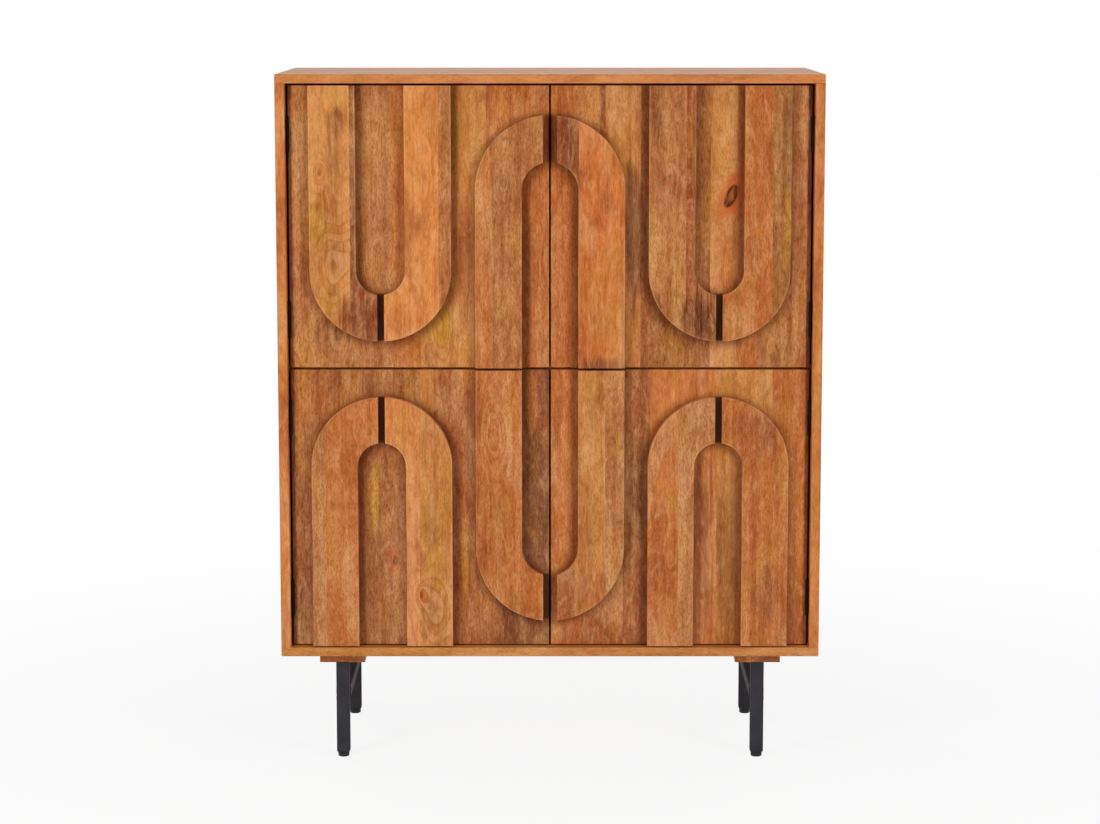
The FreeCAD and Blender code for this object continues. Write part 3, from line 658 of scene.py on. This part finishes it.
leg_names = [f"{end}_{side}_leg" for end in ("front", "back") for side in ("left", "right")]
foot_names = [f"{end}_{side}_foot" for end in ("front", "back") for side in ("left", "right")]
door_names = [f"{tier}_{side}" for tier in ("upper", "lower") for side in ("left", "right")]
leg_coat = coated("black_powder_coat", srgb(53, 52, 56), 0.60, 0.22, shine=0.07)
dress(leg_coat, *leg_names, "left_stretcher", "right_stretcher")
dress(coated("black_moulding", srgb(26, 26, 27), 0.50, 0.12, shine=0.32), "leg_plugs", *foot_names)
dress(coated("bronzed_steel", srgb(27, 15, 10), 0.60, 0.06, shine=0.06), "hinge_case_leaves", "hinge_pins",
      *[f"{door}_hinge_door_leaves" for door in door_names])
dress(coated("zinc_plate", srgb(190, 190, 186), 0.30, 0.05, 1.0), "leg_bolts", "shelf_pins")
dress(coated("dark_pole_steel", srgb(20, 18, 17), 0.60, 0.06, shine=0.12), "catch_pole_plates",
      *[f"{door}_strike_plate" for door in door_names])
dress(coated("brown_moulding", srgb(46, 32, 24), 0.52, 0.10), "upper_catch", "lower_catch")

# %% [markdown]
# ## Screws
# Small cross-head screws hold the hinges, strike plates, catches, battens and the back board.
# They could be copied one by one, but they repeat many times, so one tree of Geometry Nodes makes a
# head and sets it on points.
# The head is made a thousand times too large and then scaled down, because cutting the cross works
# poorly on shapes smaller than a millimetre.
# Each point carries the direction that its screw faces, and a fixed seed turns every cross a little
# differently.

# %% A tree that sets screws on points
ROLL_SEED = 7
HEAD_SIDES = 20
HEAD_TAPER = 0.82
CROSS_LONG = 1.15
CROSS_WIDE = 0.26
CROSS_DEEP = 1.6


def new_tree(name, sizes):
    """A tree of Geometry Nodes that takes places to build on and one number for each size."""
    tree = bpy.data.node_groups.new(name, "GeometryNodeTree")
    tree.interface.new_socket("Places", in_out="INPUT", socket_type="NodeSocketGeometry")
    for label, value in sizes.items():
        tree.interface.new_socket(label, in_out="INPUT", socket_type="NodeSocketFloat").default_value = value
    tree.interface.new_socket("Pieces", in_out="OUTPUT", socket_type="NodeSocketGeometry")
    return tree, Wire(tree).node("NodeGroupInput")


def end_tree(tree, pieces):
    tree.links.new(pieces.socket, tree.nodes.new("NodeGroupOutput").inputs[0])
    return tree


def screw_head(places):
    """One screw head that faces up, with its cross cut in and the cut faces marked."""
    radius, proud, sunk = (places.other(label) / MM for label in ("Head radius", "Proud", "Sunk"))
    taper = {"Radius Top": radius * HEAD_TAPER, "Radius Bottom": radius}
    cone = places.node("GeometryNodeMeshCone", None, {**taper, "Vertices": HEAD_SIDES, "Depth": proud + sunk})
    down = places.node("ShaderNodeCombineXYZ", None, {2: 0 - sunk})
    head = places.node("GeometryNodeTransform", None, {"Geometry": cone, "Translation": down})
    up = places.node("ShaderNodeCombineXYZ", None, {2: proud})
    for wide, deep in ((CROSS_LONG, CROSS_WIDE), (CROSS_WIDE, CROSS_LONG)):
        sides = {0: radius * wide, 1: radius * deep, 2: proud * CROSS_DEEP}
        block = places.node("ShaderNodeCombineXYZ", None, sides)
        bar = places.node("GeometryNodeMeshCube", None, {"Size": block})
        bar = places.node("GeometryNodeTransform", None, {"Geometry": bar, "Translation": up})
        bar = places.node("GeometryNodeStoreNamedAttribute", {"data_type": "BOOLEAN", "domain": "FACE"},
                          {"Geometry": bar, "Name": "recess", "Value": True})
        head = places.node("GeometryNodeMeshBoolean", {"operation": "DIFFERENCE"}, {0: head, 1: bar})
    return places.node("GeometryNodeTransform", None, {"Geometry": head, "Scale": (MM, MM, MM)})


def screw_tree(steel, shadow):
    """Sets a screw head on every place, turned the way that the place faces."""
    sizes = {"Head radius": 0.003, "Proud": 0.0006, "Sunk": 0.0008}
    tree, places = new_tree("cross_head_screws", sizes)
    head = screw_head(places)
    facing = places.node("GeometryNodeInputNamedAttribute", {"data_type": "FLOAT_VECTOR"}, {"Name": "facing"})
    turn = places.node("FunctionNodeAlignRotationToVector", {"axis": "Z"}, {"Vector": facing})
    # Inputs 2 and 3 and output 1 are the sockets for plain numbers.
    limits = {2: 0.0, 3: math.pi, "Seed": ROLL_SEED}
    roll = places.node("FunctionNodeRandomValue", {"data_type": "FLOAT"}, limits, out=1)
    roll = places.node("FunctionNodeAxisAngleToRotation", None, {"Axis": (0, 0, 1), "Angle": roll})
    turn = places.node("FunctionNodeRotateRotation", {"rotation_space": "LOCAL"}, {0: turn, 1: roll})
    setting = {"Points": places, "Instance": head, "Rotation": turn}
    screws = places.node("GeometryNodeInstanceOnPoints", None, setting)
    screws = places.node("GeometryNodeRealizeInstances", None, {0: screws})
    screws = places.node("GeometryNodeSetMaterial", None, {"Geometry": screws, "Material": steel})
    recess = places.node("GeometryNodeInputNamedAttribute", {"data_type": "BOOLEAN"}, {"Name": "recess"})
    cut_faces = {"Geometry": screws, "Selection": recess, "Material": shadow}
    return end_tree(tree, places.node("GeometryNodeSetMaterial", None, cut_faces))


def grow(name, tree, body, slot, points, edges=(), facings=None, **sizes):
    """Runs a tree on points, keeps the result as a plain mesh and lets it ride on a body."""
    mesh = bpy.data.meshes.new(name)
    mesh.from_pydata(points, edges, [])
    if facings:
        directions = mesh.attributes.new("facing", "FLOAT_VECTOR", "POINT")
        directions.data.foreach_set("vector", [part for facing in facings for part in facing])
    piece = bpy.data.objects.new(name, mesh)
    scene.collection.objects.link(piece)
    modifier = piece.modifiers.new(name, "NODES")
    modifier.node_group = tree
    for item in tree.interface.items_tree:
        key = item.name.lower().replace(" ", "_")
        if item.in_out == "INPUT" and key in sizes:
            modifier[item.identifier] = sizes[key]
    finished = bpy.data.meshes.new_from_object(piece.evaluated_get(bpy.context.evaluated_depsgraph_get()))
    piece.modifiers.clear()
    piece.data = finished
    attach(piece, body)
    print(name, "from", len(points), "points,", len(finished.polygons), "faces")


# %% [markdown]
# The places come from the boxes of the CAD nodes, so a screw always sits on the plate that it holds.
# The hinge screws are countersunk almost flush, because two leaves lie face to face when a door is shut.

# %% Set the screws of the doors
screw_steel = coated("blackened_screw", srgb(58, 54, 50), 0.36, 0.05, 0.8)
zinc_screw = coated("zinc_screw", srgb(176, 174, 168), 0.32, 0.05, 1.0)
# The cut faces of each cross get a near-black finish, a painted shade in the recess.
screw_shadow = coated("screw_recess", srgb(14, 13, 12), 0.6, 0.05)
dark_screws = screw_tree(screw_steel, screw_shadow)
pale_screws = screw_tree(zinc_screw, screw_shadow)

FLUSH = 0.00006
HINGE_SCREW = {"head_radius": 0.0026, "proud": FLUSH, "sunk": 0.001}
STRIKE_SCREW = {"head_radius": 0.0024, "proud": 0.0001, "sunk": 0.0006}
HINGE_HALF = 0.03
HINGE_SCREW_STEP = 0.019
HINGE_SCREW_BACK = 0.002
LEAF_THICKNESS = 0.0014
leaf_low, leaf_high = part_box("hinge_case_leaves")
case_points, case_facings = [], []
for door in door_names:
    side = -1 if door.endswith("left") else 1
    low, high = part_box(f"{door}_hinge_door_leaves")
    panel_low, panel_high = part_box(f"{door}_door_panel")
    plate_low, plate_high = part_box(f"{door}_strike_plate")
    screw_y = (panel_low.y + high.y) / 2 + HINGE_SCREW_BACK
    middles = (low.z + HINGE_HALF, high.z - HINGE_HALF)
    heights = [z + step for z in middles for step in (-HINGE_SCREW_STEP, HINGE_SCREW_STEP)]
    door_face = (panel_low.x if side < 0 else panel_high.x) + side * LEAF_THICKNESS
    case_face = (leaf_low.x if side < 0 else leaf_high.x) - side * LEAF_THICKNESS
    door_points = [(door_face, screw_y, z) for z in heights]
    case_points += [(case_face, screw_y, z) for z in heights]
    case_facings += [(-side, 0, 0)] * len(heights)
    plate_middle = (plate_low + plate_high) / 2
    grow(f"{door}_hinge_screws", dark_screws, f"{door}_door", "hinge_steel", door_points,
         facings=[(side, 0, 0)] * len(heights), **HINGE_SCREW)
    grow(f"{door}_strike_screw", pale_screws, f"{door}_door", "catch_steel",
         [(plate_middle.x, plate_high.y, plate_middle.z)], facings=[(0, 1, 0)], **STRIKE_SCREW)
grow("case_hinge_screws", dark_screws, "case", "hinge_steel", case_points,
     facings=case_facings, **HINGE_SCREW)

# %% [markdown]
# The back board is screwed round its rim and along the middle shelf, and its heads lie flush too.
# The battens and catches are screwed from below, where a head may stand a little proud.

# %% Set the screws of the back and the underside
BACK_SCREW = {"head_radius": 0.0032, "proud": FLUSH, "sunk": 0.0012}
UNDER_SCREW = {"head_radius": 0.0030, "proud": 0.0005, "sunk": 0.0008}
BACK_INSET = 0.0045
CORNER_ACROSS = 0.03
CORNER_UP = 0.12
BATTEN_INSET = 0.012
BATTEN_SCREW_Y = (-0.11, -0.012, 0.086)
CATCH_INSET = 0.004
CATCH_SCREW_BACK = 0.003


def spread(low, high, count=6):
    return [low + (high - low) * share / (count - 1) for share in range(count)]


back_low, back_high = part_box("back_panel")
columns = spread(back_low.x + CORNER_ACROSS, back_high.x - CORNER_ACROSS)
rows = spread(back_low.z + CORNER_UP, back_high.z - CORNER_UP)
rim_z = (back_low.z + BACK_INSET, back_high.z - BACK_INSET)
rim_x = (back_low.x + BACK_INSET, back_high.x - BACK_INSET)
middle_z = sum(corner.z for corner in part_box("middle_shelf")) / 2
back_points = [(x, back_high.y, z) for x in columns for z in rim_z]
back_points += [(x, back_high.y, z) for x in rim_x for z in rows]
back_points += [(x, back_high.y, middle_z) for x in columns[1:-1]]
grow("back_screws", pale_screws, "case", "bolt_steel", back_points,
     facings=[(0, 1, 0)] * len(back_points), **BACK_SCREW)

under_points = []
for side in ("left", "right"):
    low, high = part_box(f"{side}_batten")
    batten_x = (low.x + BATTEN_INSET, high.x - BATTEN_INSET)
    under_points += [(x, y, low.z) for x in batten_x for y in BATTEN_SCREW_Y]
for tier in ("upper", "lower"):
    low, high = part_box(f"{tier}_catch")
    catch_y = (low.y + high.y) / 2 + CATCH_SCREW_BACK
    under_points += [(x, catch_y, low.z) for x in (low.x + CATCH_INSET, high.x - CATCH_INSET)]
grow("underside_screws", pale_screws, "case", "bolt_steel", under_points,
     facings=[(0, 0, -1)] * len(under_points), **UNDER_SCREW)

# %% [markdown]
# ## Weld beads
# Each stretcher is welded to the legs all round its end, and under the paint the weld stays as a small
# uneven bead.
# A bump in the paint would be lost in the exported mesh, so a second tree makes real beads.
# It follows a square path, wanders a little with noise, and sweeps a round bead along it.

# %% Run a bead round each end of the stretchers
BEAD_STEPS = 96
BEAD_SIDES = 8
WANDER_SCALE = 420.0


def bead_tree(paint):
    """Sweeps a wandering bead along closed paths."""
    tree, places = new_tree("weld_beads", {"Bead radius": 0.0016, "Wander": 0.0009})
    path = places.node("GeometryNodeMeshToCurve", None, {"Mesh": places})
    path = places.node("GeometryNodeResampleCurve", None, {"Curve": path, "Count": BEAD_STEPS})
    waves = {"Scale": WANDER_SCALE, "Detail": 1.0}
    wobble = places.node("ShaderNodeTexNoise", {"noise_dimensions": "3D"}, waves, out=1)
    offset = vector_maths(places, "SUBTRACT", {0: wobble, 1: (0.5, 0.5, 0.5)})
    offset = vector_maths(places, "SCALE", {0: offset, "Scale": places.other("Wander")})
    path = places.node("GeometryNodeSetPosition", None, {"Geometry": path, "Offset": offset})
    section = {"Resolution": BEAD_SIDES, "Radius": places.other("Bead radius")}
    ring = places.node("GeometryNodeCurvePrimitiveCircle", None, section)
    bead = places.node("GeometryNodeCurveToMesh", None, {"Curve": path, "Profile Curve": ring})
    bead = places.node("GeometryNodeSetShadeSmooth", None, {0: bead})
    bead = places.node("GeometryNodeRealizeInstances", None, {0: bead})
    return end_tree(tree, places.node("GeometryNodeSetMaterial", None, {"Geometry": bead, "Material": paint}))


bead_points, bead_edges = [], []
for side in ("left", "right"):
    low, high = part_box(f"{side}_stretcher")
    for y in (low.y, high.y):
        first = len(bead_points)
        bead_points += [(low.x, y, low.z), (high.x, y, low.z), (high.x, y, high.z), (low.x, y, high.z)]
        bead_edges += [(first + k, first + (k + 1) % 4) for k in range(4)]
grow("weld_beads", bead_tree(leg_coat), "case", "leg_steel", bead_points, bead_edges)

# %% [markdown]
# ## Floor and backdrop
# The photograph shows the cabinet on plain white.
# The floor is pale and keeps a soft shadow near the feet, and further out it turns into the white of
# the backdrop.
# More light on the floor would make it white too, but it would also bleach the wood, so floor and
# backdrop are white only to the camera and in mirror images.

# %% Floor and backdrop
FLOOR_HALF = 14.0
FLOOR_COLOUR = (0.86, 0.86, 0.85, 1)
FLOOR_ROUGHNESS = 0.9
SHADOW_REACH = (0.5, 2.2)
SHADOW_SHARE = 0.12
SKY_SHARE = 0.03
WHITE = (1, 1, 1, 1)


def white_to_camera(start):
    """1 for what the camera sees directly, in a mirror or through glass."""
    path = start.node("ShaderNodeLightPath")
    seen = start.maths("MAXIMUM", path, path.other("Is Glossy Ray"))
    return start.maths("MAXIMUM", seen, path.other("Is Transmission Ray"))


corners = [(x * FLOOR_HALF, y * FLOOR_HALF, 0) for x, y in ((-1, -1), (1, -1), (1, 1), (-1, 1))]
floor_mesh = bpy.data.meshes.new("floor")
floor_mesh.from_pydata(corners, [], [(0, 1, 2, 3)])
floor = bpy.data.objects.new("floor", floor_mesh)
scene.collection.objects.link(floor)
floor_material, floor_shader, floor_start = new_material("studio_floor")
floor_shader.inputs["Base Color"].default_value = FLOOR_COLOUR
floor_shader.inputs["Roughness"].default_value = FLOOR_ROUGHNESS
floor_far = vector_maths(floor_start, "LENGTH", {0: object_place(floor_start)}, out=1)
backdrop = floor_start.node("ShaderNodeEmission", None, {"Color": WHITE, "Strength": 1.0})
whiteness = rise(floor_far, *SHADOW_REACH) * SHADOW_SHARE + (1 - SHADOW_SHARE)
share = white_to_camera(floor_start) * whiteness
blended = floor_start.node("ShaderNodeMixShader", None, {0: share, 2: backdrop})
floor_tree = floor_material.node_tree
floor_tree.links.new(floor_shader.outputs[0], blended.socket.node.inputs[1])
floor_tree.links.new(blended.socket, floor_tree.nodes["Material Output"].inputs["Surface"])
floor_mesh.materials.append(floor_material)

world = bpy.data.worlds.new("studio")
scene.world = world
world.use_nodes = True
world_start = Wire(world.node_tree)
sky = world.node_tree.nodes["Background"]
sky_strength = white_to_camera(world_start) * (1 - SKY_SHARE) + SKY_SHARE
world_start.tree.links.new(sky_strength.socket, sky.inputs["Strength"])
sky.inputs["Color"].default_value = WHITE
print("floor", 2 * FLOOR_HALF, "m wide")

# %% [markdown]
# ## Lamps
# Large soft lamps stand at both sides of the front, above, and behind, and a low one stands for the
# light that the floor throws back up.
# One large lamp would be simpler, but the arches need light from both sides to show their round edges.
# The two front lamps stay out of mirror images, because seen from behind the lacquered top would show
# one of them as a white patch.

# %% Set up the lamps
def soft_lamp(name, place, aim, wide, tall, power, mirrored=True):
    """A flat rectangular lamp at a place, turned towards its aim."""
    lamp_data = bpy.data.lights.new(name, "AREA")
    lamp_data.shape = "RECTANGLE"
    lamp_data.size = wide
    lamp_data.size_y = tall
    lamp_data.energy = power
    lamp = bpy.data.objects.new(name, lamp_data)
    lamp.visible_glossy = mirrored
    lamp.location = place
    direction = [goal - spot for goal, spot in zip(aim, place)]
    heading = math.atan2(direction[0], direction[1])
    slope = math.atan2(direction[2], math.hypot(direction[0], direction[1]))
    lamp.rotation_euler = (math.pi / 2 + slope, 0, -heading)
    scene.collection.objects.link(lamp)
    print(name, power, "W")


soft_lamp("left_softbox", (-1.5, -1.9, 1.1), (-0.1, -0.2, 0.7), 0.5, 1.6, 25.5, mirrored=False)
soft_lamp("right_softbox", (1.5, -1.9, 1.1), (0.1, -0.2, 0.7), 0.5, 1.6, 22.5, mirrored=False)
soft_lamp("overhead_softbox", (0, -0.95, 2.5), (0, -0.2, 0.7), 1.6, 0.5, 6)
soft_lamp("top_softbox", (0, 0.25, 2.6), (0, 0.1, 1.1), 2.0, 1.0, 7)
soft_lamp("back_left_softbox", (-1.6, 2.1, 1.1), (-0.1, 0.2, 0.7), 1.2, 1.8, 20)
soft_lamp("back_right_softbox", (1.6, 2.1, 1.1), (0.1, 0.2, 0.7), 1.2, 1.8, 17)
soft_lamp("floor_bounce", (0, -0.95, 0.03), (0, -0.2, 0.7), 1.6, 0.4, 1.8)
